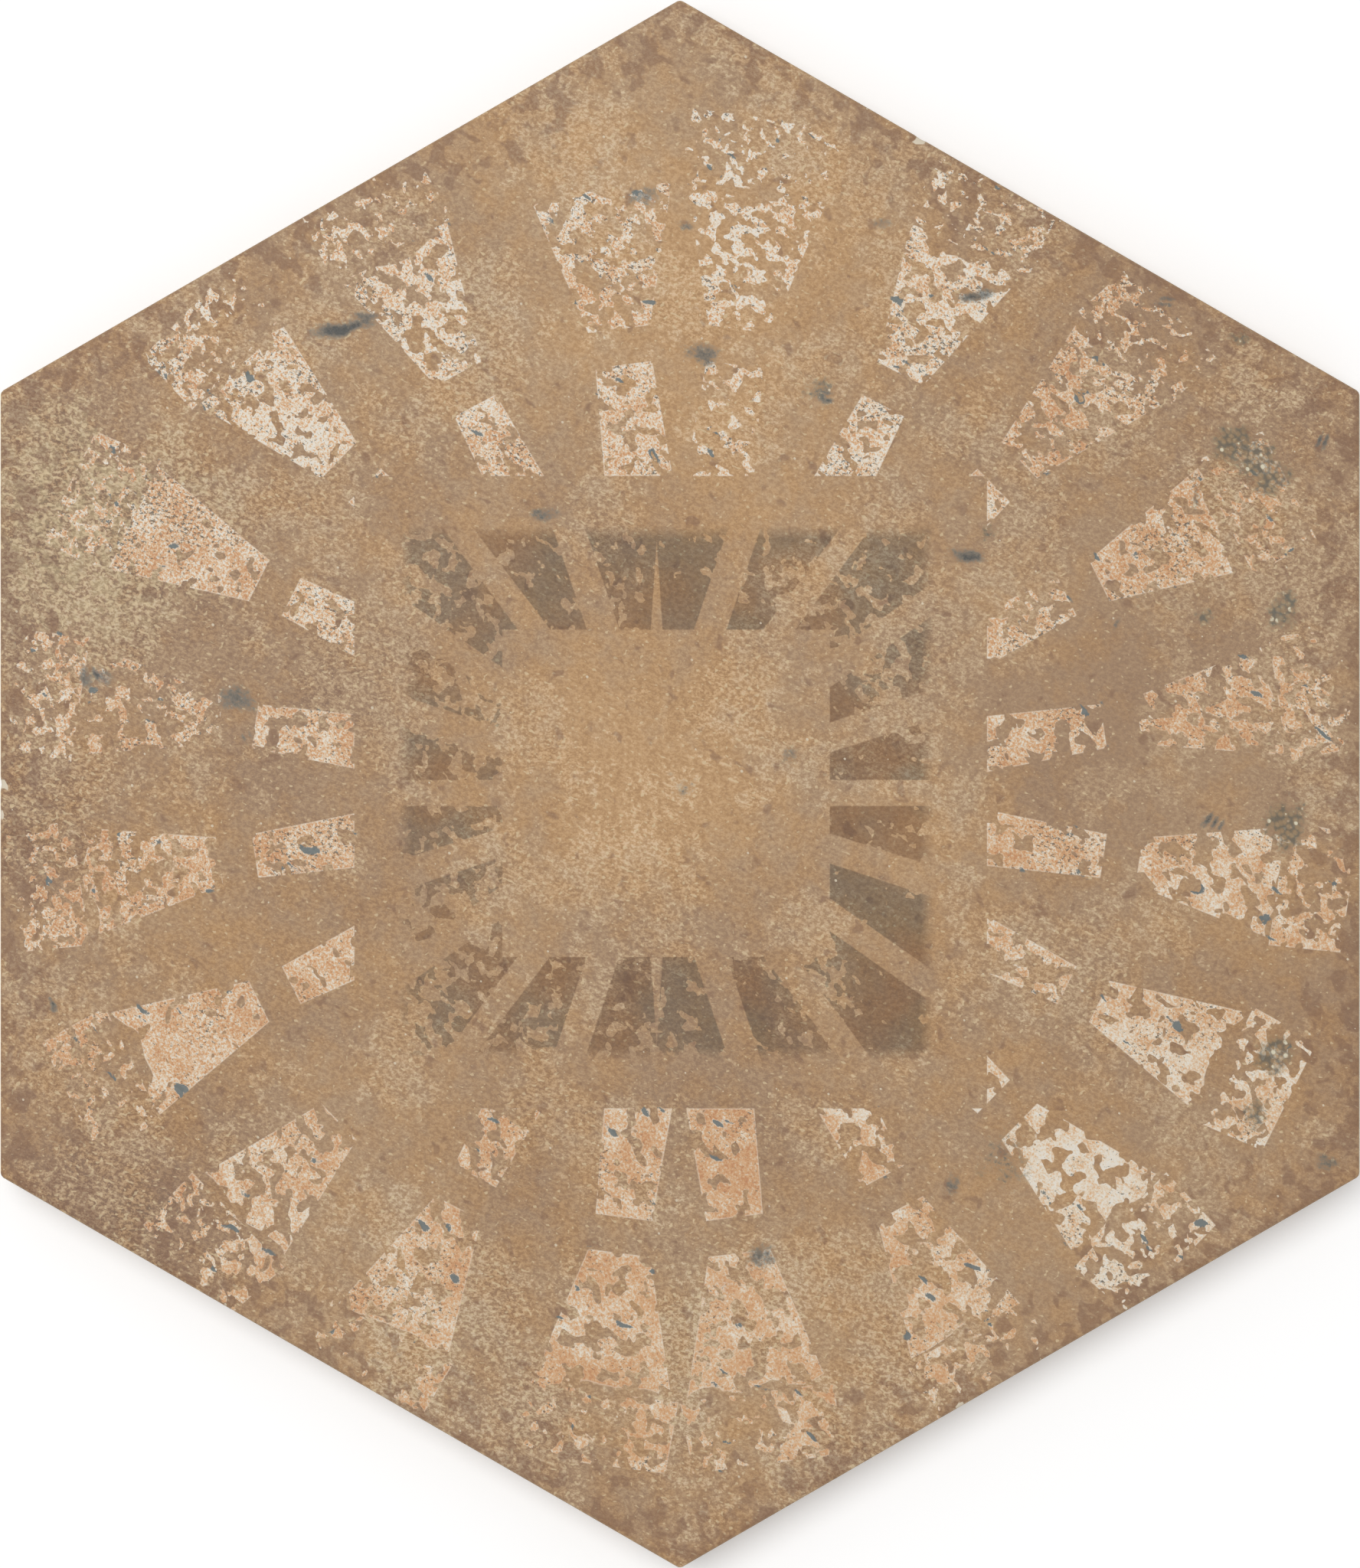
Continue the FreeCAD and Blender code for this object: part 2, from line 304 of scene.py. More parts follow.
def border_patch():
    """The plain land between the back's bevel and the honeycomb: straight lines from each
    point of the outline to the point of the zigzag rim that has the same number."""
    place = np.arange(ROUND_STEPS) / SIDE_STEPS
    outer = outline(place, BACK_INSET + BACK_ARRIS)
    inner = honeycomb_rim()
    share = np.array([0, 0.12, 0.3, 0.55, 0.8, 1])[:, None, None]
    flat = outer[None] * (1 - share) + inner[None] * share
    x, y = flat[..., 0], flat[..., 1]
    z = back_rise(x, y) * np.clip(share[..., 0] * 6, 0, 1)
    points = np.stack([x, y, z], axis=-1).reshape(-1, 3)
    return points, grid_quads(len(share), ROUND_STEPS, closed=True)[:, ::-1]


def cell_patches():
    """Every honeycomb cell, from the middle of its ribs to the middle of its floor. A ring of
    the cell is a hexagon of the given half width, and the rings step over the flat rib, round
    into the sloping wall, down it, round into the floor and along that to the middle."""
    half_rib = (CELL_PITCH - RIB_WIDTH) / 2
    foot = half_rib - CELL_DEPTH * math.tan(CELL_DRAFT)
    section = np.array([
        (CELL_PITCH / 2, 0.0), (half_rib + 0.22, 0.0), (half_rib - 0.02, 0.05),
        (half_rib - 0.14, 0.2), (foot + 0.12, CELL_DEPTH - 0.17), (foot - 0.03, CELL_DEPTH - 0.03),
        (foot - 0.35, CELL_DEPTH), (foot * 0.5, CELL_DEPTH), (0.0, CELL_DEPTH),
    ])
    step = np.arange(6 * CELL_STEPS) / CELL_STEPS
    edge = np.floor(step)
    part = (step - edge)[:, None]
    hexagon = toward(60 * edge) * (1 - part) + toward(60 * edge + 60) * part
    ring = hexagon[None] * section[:, 0][:, None, None] / math.cos(math.pi / 6)
    steps = np.arange(-CELL_RINGS, CELL_RINGS + 1)
    p, q = [axis.ravel() for axis in np.meshgrid(steps, steps)]
    kept = np.abs(p + q) <= CELL_RINGS
    centres = CELL_PITCH * (p[kept, None] * toward(90) + q[kept, None] * toward(30))
    flat = centres[:, None, None, :] + ring[None]
    x, y = flat[..., 0], flat[..., 1]
    depth = np.broadcast_to(section[:, 1][None, :, None], x.shape)
    z = depth + back_rise(x, y) * (1 - 0.3 * depth / CELL_DEPTH)
    points = np.stack([x, y, z], axis=-1).reshape(-1, 3)
    quads = grid_quads(len(section), len(step), closed=True)
    first = np.arange(len(centres))[:, None, None] * len(section) * len(step)
    return points, (quads[None] + first).reshape(-1, 4)[:, ::-1]


def nicked(points):
    """The points with the nicks pressed in: within a nick's radius a point moves inwards and
    down by its depth times (1 - (distance / radius)^2)^2. Also how bare the nick leaves it."""
    bare = np.zeros(len(points))
    for place, radius, depth in NICKS:
        middle = np.append(outline(np.array(place), 0.1), THICKNESS - 0.1)
        away = np.linalg.norm(points - middle, axis=1) / radius
        bite = np.clip(1 - away**2, 0, 1) ** 2
        inwards = -middle / np.hypot(*middle[:2]) * np.array([0.75, 0.75, 0])
        points = points + bite[:, None] * depth * (inwards + np.array([0, 0, -0.66]))
        bare = np.maximum(bare, np.clip(bite * 2.5, 0, 1))
    return points, bare


def ground_fields(x, y):
    """What the ground is like at a point: how light and how warm it is, how grainy, and by how
    much its grainy layer is there. Broad noise, with the zones added."""
    light = 0.50 + 0.06 * layered_noise(x, y, 22, 41, 2)
    light += 0.035 * layered_noise(x, y, 6, 45, 3)
    warm = 0.30 + 0.35 * layered_noise(x, y, 22, 51, 2) + 0.35 * layered_noise(x, y, 6, 55, 3)
    grainy = np.full(x.shape, 0.5)
    for zone_x, zone_y, radius, lighter, warmer, grainier in ZONES:
        share = fall(np.hypot(x - zone_x, y - zone_y) / radius)
        light += share * lighter
        warm += share * warmer
        grainy += share * grainier
    patch = layered_noise(x, y, 9, 61, 4) - 0.27 + 0.45 * grainy
    return np.stack([light, warm, grainy, patch], axis=-1)


def mark_fields(x, y, nick):
    """How much of a smudge, of a crust and of a nick there is at a point, and how worn the ink
    is by place. The stains are ellipses on a place that noise has moved about."""
    moved_x = x + 1.5 * layered_noise(x, y, 3.4, 71, 2)
    moved_y = y + 1.5 * layered_noise(x, y, 3.4, 81, 2)
    smudge = np.zeros(x.shape)
    crust = np.zeros(x.shape)
    for column, row, half_x, half_y, dark, crusted in STAINS:
        stain_x, stain_y = on_photo(column, row)
        away = np.hypot((moved_x - stain_x) / half_x, (moved_y - stain_y) / half_y) * PIXELS_PER_MM
        smudge = np.maximum(smudge, fall(away / 1.5) * dark * (1 - crusted))
        crust = np.maximum(crust, fall(away / 1.9) * crusted)
    worn = layered_noise(x, y, 9, 91, 2) - np.clip((x + 0.6 * y) / 100, -0.3, 0.3)
    return np.stack([smudge, crust, nick, worn], axis=-1)


def ink_fields(x, y):
    """How the light ink is at a point: how pale, how strongly it is speckled, which falls off
    towards the lower right, how much its rim pieces are worn, and where its flecks swarm."""
    pale = layered_noise(x, y, 7, 101, 2)
    speckled = np.clip(0.62 + 0.0025 * y - 0.0012 * x, 0.4, 0.9)
    worn = layered_noise(x, y, 8, 111, 2)
    swarm = layered_noise(x, y, 4, 121, 2)
    return np.stack([pale, speckled, worn, swarm], axis=-1)


def make_tile(materials):
    """The whole tile as one closed mesh: the patches are put end to end and welded where they
    meet. The face and its arris take the first material, and the rest takes the second."""
    patches = [face_patch(0), face_patch(1), face_patch(2)]
    patches += [side_patch(), border_patch(), cell_patches()]
    starts = np.cumsum([0] + [len(points) for points, quads in patches])
    points = np.concatenate([points for points, quads in patches])
    quads = np.concatenate([quads + start for (_, quads), start in zip(patches, starts)])
    points, bare = nicked(points)
    mesh = bpy.data.meshes.new("hexagon_tile_surface")
    mesh.from_pydata(points * MM, [], quads)
    x, y = points[:, 0], points[:, 1]
    fields = {
        "ground": ground_fields(x, y), "marks": mark_fields(x, y, bare), "ink": ink_fields(x, y),
    }
    for name, values in fields.items():
        mesh.attributes.new(name, "FLOAT_COLOR", "POINT").data.foreach_set("color", values.ravel())
    for material in materials:
        mesh.materials.append(material)
    glazed = points[quads][..., 2].mean(axis=1) > THICKNESS - FACE_ARRIS - 0.3
    mesh.polygons.foreach_set("material_index", np.where(glazed, 0, 1))
    mesh.polygons.foreach_set("use_smooth", np.ones(len(quads), bool))
    work = bmesh.new()
    work.from_mesh(mesh)
    bmesh.ops.remove_doubles(work, verts=work.verts, dist=0.002 * MM)
    work.to_mesh(mesh)
    work.free()
    tile = bpy.data.objects.new("hexagon_tile_fired", mesh)
    bpy.context.scene.collection.objects.link(tile)
    return tile


# Materials


def paint(hex_colour):
    """A colour written as sRGB hex, turned into the linear values that the shader reads."""
    parts = [int(hex_colour[k : k + 2], 16) / 255 for k in (1, 3, 5)]
    return [v / 12.92 if v <= 0.04045 else ((v + 0.055) / 1.055) ** 2.4 for v in parts] + [1]


def add(tree, kind, inputs=(), out=0, stops=None, steps=False, **settings):
    """Adds one node to a tree, with its settings, and gives the outputs asked for. Its kind may
    be followed by an operation, and an operation alone is one of a Math node's. Each input is a
    number or colour, which is set, or another node's output, which is linked. stops are a
    ramp's places and colours, and steps makes the ramp jump from one to the next. A MapRange's
    inputs are the value, the two numbers between which it is read, and the two that it then
    runs between, 0 and 1 where they aren't given."""
    if kind.isupper():
        kind = "Math " + kind
    kind, _, operation = kind.partition(" ")
    node = tree.nodes.new("ShaderNode" + kind)
    if operation:
        node.operation = operation
    for name, value in settings.items():
        setattr(node, name, value)
    if stops:
        node.color_ramp.interpolation = "CONSTANT" if steps else "LINEAR"
        node.color_ramp.elements.remove(node.color_ramp.elements[1])
        for place, value in stops[1:]:
            node.color_ramp.elements.new(place).color = value
        node.color_ramp.elements[0].position, node.color_ramp.elements[0].color = stops[0]
    for key, value in inputs.items() if isinstance(inputs, dict) else enumerate(inputs):
        if isinstance(value, bpy.types.NodeSocket):
            tree.links.new(value, node.inputs[key])
        else:
            node.inputs[key].default_value = value
    if isinstance(out, tuple):
        return [node.outputs[name] for name in out]
    return node.outputs[out] if node.outputs else node


# The real sizes of the materials' patterns, in millimetres. Those of the ground
BLOTCH = 4.4
MOTTLE = 1.6
GRAIN = 0.52
FLECK = 0.55
HAIR_LOOP = 5.0
SCORCH = 2.8
WHITE_SPECK_SPACING = 5.0

# Those of the inks and the stains
WARP = 2.1
LIGHT_RAY_HOLE = 1.95
DARK_RAY_HOLE = 1.8
INK_PATCH = 2.4
INK_SPECKLE = 0.36
SLOT = 2.6
CRUST_GRAIN = 0.7

# And those of the bare biscuit
CLAY_CLOUD = 6.0
GRIT = 0.5
IRON_SPACING = 3.4
WASH_PATCH = 3.0

ASKEW = (0.45, 0.35, 0.6)


def turned_askew(tree, place):
    """A place turned askew for the noises, whose own grid shows where a face lies along it."""
    turned = {"Vector": place, "Rotation": ASKEW}
    return add(tree, "VectorRotate", turned, rotation_type="EULER_XYZ")


def new_material(name):
    """An empty material, its node tree, the object's own millimetres, and the same askew."""
    material = bpy.data.materials.new(name)
    material.use_nodes = True
    tree = material.node_tree
    tree.nodes.clear()
    metres = add(tree, "TexCoord", out="Object")
    place = add(tree, "VectorMath SCALE", {0: metres, "Scale": 1 / MM})
    return material, tree, place, turned_askew(tree, place)


def layered(tree, under, layers):
    """Paints colours one over the other: each layer is how much it covers, and its colour."""
    for share, colour in layers:
        under = add(tree, "Mix", {0: share, 6: under, 7: colour}, out=2, data_type="RGBA")
    return under


def four_numbers(tree, kind, *inputs, **settings):
    """The four numbers that a node's colour and alpha hold."""
    colour, fourth = add(tree, kind, inputs, out=("Color", "Alpha"), **settings)
    return *add(tree, "SeparateColor", [colour], out=("Red", "Green", "Blue")), fourth


def specks(tree, place, spacing, largest, strength, least, **settings):
    """How much is covered by round specks of many sizes, at most one to each random cell of
    that spacing. largest is the greatest radius, counted in spacings, strength is how much a
    speck covers, and least is about the share of the cells that has none."""
    seeds = {"Vector": place, "Scale": 1 / spacing}
    distance, pick = add(tree, "TexVoronoi", seeds, out=("Distance", "Color"), **settings)
    pick = add(tree, "SeparateColor", [pick], out="Red")
    size = add(tree, "MapRange", [pick, least, 1, -0.01, largest])
    speck = add(tree, "GREATER_THAN", [size, distance])
    return add(tree, "MULTIPLY", [speck, strength])


def folded(tree, place, middle):
    """A place counted from a middle, with the four quarters folded into one, and its sides."""
    offset = add(tree, "VectorMath SUBTRACT", [place, (*middle, 0)])
    offset = add(tree, "VectorMath ABSOLUTE", [offset])
    return offset, *add(tree, "SeparateXYZ", [offset], out=("X", "Y"))


def square_reach(tree, place, middle):
    """Distance from a middle as a square measures it: the greater of the two sides."""
    _, x, y = folded(tree, place, middle)
    return add(tree, "MAXIMUM", [x, y])


def fired(tree, colour, rough, relief):
    """The surface of fired porcelain in this colour, with this roughness and fine relief."""
    look = {"Base Color": colour, "Roughness": rough, "IOR": 1.5, "Normal": relief}
    surface = add(tree, "BsdfPrincipled", look)
    add(tree, "OutputMaterial", {"Surface": surface})


# The print is a ring of twenty rays, alike in its four quarters. For each of the five rays of a
# quarter, from the X axis up: its angle, half its width where its outer piece starts, how much
# that half width grows per millimetre outwards, and the radius where the outer piece starts.
# The outer piece's end sways in and out, and the rim piece is a little wider and nearly
# straight. The inner piece ends before INNER_REACH, and a square cuts it off inwards
RAYS = [
    (8.7, 3.15, 0.228, 59.8),
    (26.6, 3.00, 0.243, 60.4),
    (44.2, 3.30, 0.241, 61.0),
    (62.1, 3.35, 0.254, 60.7),
    (82.6, 4.05, 0.286, 59.9),
]
RAY_ANGLES = [angle for angle, *_ in RAYS]
RING_MIDDLE = (-0.1, -0.9)
OUTER_LENGTH = 17.3
OUTER_PAST = 0.3
OUTER_SWAY = 2.0
RIM_GAP = 0.8
RIM_LENGTH = 9.4
RIM_WIDER = 1.1
RIM_TAPER = -0.05
INNER_GAP = 4.5
INNER_LENGTH = 25.0
INNER_TAPER = -0.047
INNER_SHARE = 0.92
INNER_REACH = 58.0
CUT_MIDDLE = (-1.2, -1.05)
CUT_HALF = 40.65

# The dark rays between two squares round the plain middle of the print. The first of a
# quarter grows by DARK_FLARE per millimetre outwards, and the others by the light rays' widths
DARK_MIDDLE = (-3.0, -1.15)
DARK_SQUARE_MIDDLE = (-1.8, -1.2)
DARK_INNER_HALF = 21.0
DARK_OUTER_HALF = 33.6
DARK_SOFT_EDGE = 0.9
DARK_START = 10.8
DARK_FLARE = 0.155

# Wear and tint of the twenty light rays, anticlockwise from the one at -171 degrees: how worn
# its outer piece is, then its rim piece and its inner piece, and how cream rather than peach it
# is. A wear of 0.3 leaves the piece nearly whole, and 0.7 leaves nothing
RAY_WEAR = [
    (0.45, 0.53, 0.33, 0.00), (0.32, 0.53, 0.38, 0.09),
    (0.45, 0.40, 0.80, 0.00), (0.40, 0.53, 0.44, 0.09),
    (0.40, 0.50, 0.40, 0.00), (0.44, 0.63, 0.33, 0.05),
    (0.48, 0.65, 0.49, 0.14), (0.47, 0.44, 0.40, 0.89),
    (0.42, 0.56, 0.49, 0.56), (0.50, 0.46, 0.44, 0.21),
    (0.53, 0.60, 0.42, 0.04), (0.43, 0.54, 0.52, 0.07),
    (0.52, 0.60, 0.35, 0.29), (0.46, 0.60, 0.42, 0.75),
    (0.54, 0.66, 0.59, 1.00), (0.52, 1.07, 0.46, 0.46),
    (0.51, 0.56, 0.44, 0.69), (0.41, 0.56, 0.45, 0.86),
    (0.33, 0.50, 0.39, 0.34), (0.54, 0.48, 0.42, 0.07),
]


def ray_stops(angles, whole, held):
    """The stops of a stepped ramp that holds each ray's numbers from halfway between its angle
    and the one before. The first ray's mirror image comes before it."""
    before = [-angles[0], *angles]
    places = [(angle + last) / 2 / whole for angle, last in zip(angles, before)]
    return list(zip(places, held))


def ray_frame(tree, place, middle):
    """Where a point lies on the ray that is nearest to it: how far along the ray and how far
    from its line, and the ray's half width, flare and start. The four quarters are folded
    into one, the angle picks the ray from a stepped ramp, and the ramp holds its numbers."""
    offset, x, y = folded(tree, place, middle)
    turn = add(tree, "ARCTAN2", [y, x])
    quarter = add(tree, "MULTIPLY", [turn, 2 / math.pi])
    scaled = [(angle / 90, half / 10, flare, start / 100) for angle, half, flare, start in RAYS]
    stops = ray_stops(RAY_ANGLES, 90, scaled)
    angle, half, flare, start = four_numbers(tree, "ValToRGB", quarter, stops=stops, steps=True)
    angle = add(tree, "MULTIPLY", [angle, math.pi / 2])
    half = add(tree, "MULTIPLY", [half, 10])
    start = add(tree, "MULTIPLY", [start, 100])
    cosine = add(tree, "COSINE", [angle])
    sine = add(tree, "SINE", [angle])
    line = add(tree, "CombineXYZ", [cosine, sine, 0])
    along = add(tree, "VectorMath DOT_PRODUCT", [offset, line], out="Value")
    cross = add(tree, "VectorMath CROSS_PRODUCT", [offset, line])
    aside = add(tree, "SeparateXYZ", [cross], out="Z")
    aside = add(tree, "ABSOLUTE", [aside])
    return along, aside, half, flare, start


def wedge(tree, along, aside, start, length, half, flare):
    """How deep a point is inside a straight-edged piece of a ray, in millimetres: the least of
    its distances from the piece's start, its end and its two flaring sides."""
    past = add(tree, "SUBTRACT", [along, start])
    left = add(tree, "SUBTRACT", [length, past])
    width = add(tree, "MULTIPLY_ADD", [past, flare, half])
    side = add(tree, "SUBTRACT", [width, aside])
    ends = add(tree, "MINIMUM", [past, left])
    return add(tree, "MINIMUM", [ends, side])


def light_rays(tree, place, swarm):
    """The ring of light rays: how deep a point is inside a piece, how worn and how cream the
    piece is, and whether it is one at the rim. Each ray has an outer piece, a rim piece past a
    thin gap and an inner piece that a square cuts off towards the middle."""
    along, aside, half, flare, start = ray_frame(tree, place, RING_MIDDLE)
    outer_end = add(tree, "MULTIPLY_ADD", [swarm, OUTER_SWAY, OUTER_LENGTH + OUTER_PAST])
    outer = wedge(tree, along, aside, start, outer_end, half, flare)
    outer_half = add(tree, "MULTIPLY_ADD", [flare, OUTER_LENGTH, half])
    rim_half = add(tree, "ADD", [outer_half, RIM_WIDER])
    rim_start = add(tree, "ADD", [start, OUTER_LENGTH + RIM_GAP])
    rim = wedge(tree, along, aside, rim_start, RIM_LENGTH, rim_half, RIM_TAPER)
    inner_start = add(tree, "SUBTRACT", [start, INNER_GAP + INNER_LENGTH])
    inner_half = add(tree, "MULTIPLY_ADD", [half, INNER_SHARE, -INNER_TAPER * INNER_LENGTH])
    inner = wedge(tree, along, aside, inner_start, INNER_LENGTH, inner_half, INNER_TAPER)
    square = square_reach(tree, place, CUT_MIDDLE)
    outside = add(tree, "SUBTRACT", [square, CUT_HALF])
    inner = add(tree, "MINIMUM", [inner, outside])
    depth = add(tree, "MAXIMUM", [outer, rim])
    depth = add(tree, "MAXIMUM", [depth, inner])

    offset = add(tree, "VectorMath SUBTRACT", [place, (*RING_MIDDLE, 0)])
    x, y = add(tree, "SeparateXYZ", [offset], out=("X", "Y"))
    turn = add(tree, "ARCTAN2", [y, x])
    whole = add(tree, "MULTIPLY_ADD", [turn, 1 / math.tau, 0.5])
    half_turn = RAY_ANGLES + [180 - angle for angle in RAY_ANGLES[::-1]]
    whole_turn = half_turn + [180 + angle for angle in half_turn]
    stops = ray_stops(whole_turn, 360, RAY_WEAR)
    held = four_numbers(tree, "ValToRGB", whole, stops=stops, steps=True)
    outer_wear, rim_wear, inner_wear, cream = held
    past_gap = add(tree, "GREATER_THAN", [along, INNER_REACH])
    wear = add(tree, "Mix", {0: past_gap, 2: inner_wear, 3: outer_wear})
    rimward = add(tree, "GREATER_THAN", [along, rim_start])
    wear = add(tree, "Mix", {0: rimward, 2: wear, 3: rim_wear})
    return depth, wear, cream, rimward


def dark_rays(tree, place, warped, wear_by_place):
    """The dark rays: how strongly they darken the ground, from 0 to 1, and the pale lips of the
    holes worn in them, which are painted highlight. They start at the hard edge of the inner
    square and fade out over the soft edge of the outer one."""
    along, aside, half, _, _ = ray_frame(tree, place, DARK_MIDDLE)
    reach = add(tree, "SUBTRACT", [along, DARK_START])
    share = add(tree, "MULTIPLY", [half, DARK_FLARE / RAYS[0][1]])
    width = add(tree, "MULTIPLY", [reach, share])
    side = add(tree, "SUBTRACT", [width, aside])
    square = square_reach(tree, place, DARK_SQUARE_MIDDLE)
    started = add(tree, "SUBTRACT", [square, DARK_INNER_HALF])
    inside = add(tree, "MINIMUM", [side, started])
    edge = add(tree, "MapRange", [inside, 0, 0.15])
    fade = [square, DARK_OUTER_HALF + DARK_SOFT_EDGE, DARK_OUTER_HALF - DARK_SOFT_EDGE]
    fade = add(tree, "MapRange", fade)
    holes = {"Vector": warped, "Scale": 1 / DARK_RAY_HOLE, "Detail": 2, "Roughness": 0.5}
    holes = add(tree, "TexNoise", holes, noise_dimensions="2D")
    holes = add(tree, "MULTIPLY_ADD", [wear_by_place, -0.25, holes])
    film = add(tree, "MapRange", [holes, 0.40, 0.415])
    strength = add(tree, "MapRange", [wear_by_place, -0.4, 0.4, 1, 0.8])
    piece = add(tree, "MULTIPLY", [edge, fade])
    dark = add(tree, "MULTIPLY", [piece, film])
    lip_highlight = add(tree, "MapRange", [holes, 0.38, 0.40])
    lip_highlight = add(tree, "SUBTRACT", [lip_highlight, film], use_clamp=True)
    lip_highlight = add(tree, "MULTIPLY", [lip_highlight, piece])
    return add(tree, "MULTIPLY", [dark, strength]), lip_highlight


def ground(tree, flat, warped, brushed):
    """The printed ground, in two layers. Below is a smooth reddish brown, and over it lies a
    grainy, paler tan that has gone in ragged patches. The tan turns orange in the middle and
    the top, and khaki at the upper left, with pale flecks and hair scratches. Gives the
    colour, its grain and its mottling."""
    tone, warm, grainy, patch = four_numbers(tree, "Attribute", attribute_name="ground")
    blotch = {"Vector": warped, "Scale": 1 / BLOTCH, "Detail": 4, "Roughness": 0.62}
    blotch = add(tree, "TexNoise", blotch, noise_dimensions="2D")
    mottle = {"Vector": flat, "Scale": 1 / MOTTLE, "Detail": 3, "Roughness": 0.68}
    mottle = add(tree, "TexNoise", mottle, noise_dimensions="2D")
    grain = {"Vector": brushed, "Scale": 1 / GRAIN, "Detail": 3, "Roughness": 0.8}
    grain = add(tree, "TexNoise", grain, noise_dimensions="2D")

    # The grainy layer's ragged patches
    patch = add(tree, "MULTIPLY_ADD", [mottle, 1.2, patch])
    patch = add(tree, "MapRange", [patch, 0.56, 0.70])
    tone = add(tree, "MULTIPLY_ADD", [patch, 0.085, tone])
    amount = add(tree, "MapRange", [patch, 0, 1, 0.55, 1])
    more = add(tree, "MapRange", [grainy, 0, 1.4, 0.50, 1.50])
    amount = add(tree, "MULTIPLY", [amount, more])

    # Three scales of unevenness: blotches, mottling and grain
    swing = add(tree, "MapRange", [blotch, 0.42, 0.58, -0.06, 0.04])
    chips = add(tree, "MapRange", [mottle, 0.41, 0.57, -0.055, 0.02])
    swing = add(tree, "ADD", [swing, chips])
    crumbs = add(tree, "MapRange", [grain, 0.42, 0.60, -0.17, 0.20])
    swing = add(tree, "ADD", [swing, crumbs])
    tone = add(tree, "MULTIPLY_ADD", [swing, amount, tone])
    more_warm = add(tree, "MapRange", [blotch, 0.35, 0.65, 0.35, -0.35])
    warm = add(tree, "ADD", [warm, more_warm], use_clamp=True)
    cool_colour = add(tree, "ValToRGB", [tone], stops=[
        (0, paint("#5e4c3e")), (0.3, paint("#866952")), (0.5, paint("#a28364")),
        (0.7, paint("#b99c7a")), (1, paint("#d8c3a5")),
    ])
    warm_colour = add(tree, "ValToRGB", [tone], stops=[
        (0, paint("#684b32")), (0.3, paint("#97714b")), (0.5, paint("#b58e62")),
        (0.7, paint("#c9a479")), (1, paint("#e2c8a7")),
    ])
    colour = layered(tree, cool_colour, [(warm, warm_colour)])

    # The khaki bloom, where the ground is grainiest and coolest, and pale flecks in drifts
    bloom = add(tree, "MapRange", [grainy, 0.8, 1.4, 0, 0.55])
    bloom_noise = add(tree, "MapRange", [mottle, 0.40, 0.62, 0.1, 0.8])
    bloom = add(tree, "MULTIPLY", [bloom, bloom_noise])
    bloom = add(tree, "MULTIPLY", [bloom, patch])
    cool = add(tree, "SUBTRACT", [1, warm])
    bloom = add(tree, "MULTIPLY", [bloom, cool])
    fleck = {"Vector": brushed, "Scale": 1 / FLECK, "Detail": 0}
    fleck = add(tree, "TexNoise", fleck, noise_dimensions="2D")
    level = add(tree, "MapRange", [amount, 0.4, 1.5, 0.80, 0.63])
    past = add(tree, "SUBTRACT", [fleck, level])
    pale = add(tree, "MapRange", [past, 0, 0.06, 0, 0.65])

    # Hair scratches: short lengths of the lines along which a noise is level
    hair = {"Vector": warped, "Scale": 1 / HAIR_LOOP, "Detail": 1}
    hair = add(tree, "TexNoise", hair, noise_dimensions="2D")
    hair = add(tree, "SUBTRACT", [hair, 0.5])
    hair = add(tree, "ABSOLUTE", [hair])
    hair = add(tree, "MapRange", [hair, 0.008, 0.002])
    lengths = add(tree, "MapRange", [mottle, 0.54, 0.62])
    hair = add(tree, "MULTIPLY", [hair, lengths])
    where = add(tree, "MapRange", [grainy, 0.5, 1.3, 0.1, 0.7])
    hair = add(tree, "MULTIPLY", [hair, where])
    colour = layered(tree, colour, [
        (bloom, paint("#b5a67e")), (pale, paint("#d6bf98")), (hair, paint("#dcc8a4")),
    ])
    return colour, grain, mottle


def stains(tree, flat, colour, smudge, crust, mottle, grain):
    """Paints the stains over a colour: slate smudges broken up by noise, and crusts of pale
    grains with dark gaps between them, which are painted shade. Gives the new colour and how
    stained each point is, the shaded gaps counted in."""
    ragged = add(tree, "MULTIPLY_ADD", [mottle, 0.9, -0.45])
    finely = add(tree, "MULTIPLY_ADD", [grain, 0.9, -0.46])
    ragged = add(tree, "ADD", [ragged, finely])
    dark = add(tree, "ADD", [smudge, ragged])
    haze = add(tree, "MapRange", [dark, 0.08, 0.45, 0, 0.75])
    some = add(tree, "MapRange", [smudge, 0.02, 0.2])
    haze = add(tree, "MULTIPLY", [haze, some])
    dark = add(tree, "MapRange", [dark, 0.45, 0.80, 0, 0.85])
    crusty = add(tree, "ADD", [crust, ragged])
    crusty = add(tree, "MapRange", [crusty, 0.25, 0.6])
    some = add(tree, "MapRange", [crust, 0.02, 0.15])
    crusty = add(tree, "MULTIPLY", [crusty, some])
    seeds = {"Vector": flat, "Scale": 1 / CRUST_GRAIN}
    both = ("Distance", "Color")
    distance, pick = add(tree, "TexVoronoi", seeds, out=both, voronoi_dimensions="2D")
    pick = add(tree, "SeparateColor", [pick], out="Red")
    # Darker gaps between the crust's grains: painted shade
    gap_shade = add(tree, "MapRange", [distance, 0.25, 0.62, 0.15, 0.75])
    gap_shade = add(tree, "MULTIPLY", [gap_shade, crusty])
    size = add(tree, "MapRange", [pick, 0.72, 1, -0.1, 0.5])
    pale = add(tree, "SUBTRACT", [size, distance])
    pale = add(tree, "MapRange", [pale, 0, 0.12])
    pale = add(tree, "MULTIPLY", [pale, crusty])
    olive = add(tree, "MULTIPLY", [crusty, 0.4])
    colour = layered(tree, colour, [
        (olive, paint("#8a7853")), (gap_shade, paint("#4a4a42")), (haze, paint("#565a55")),
        (dark, paint("#262b2c")), (pale, paint("#d6ceb4")),
    ])
    stained = add(tree, "MAXIMUM", [haze, gap_shade])
    return colour, stained


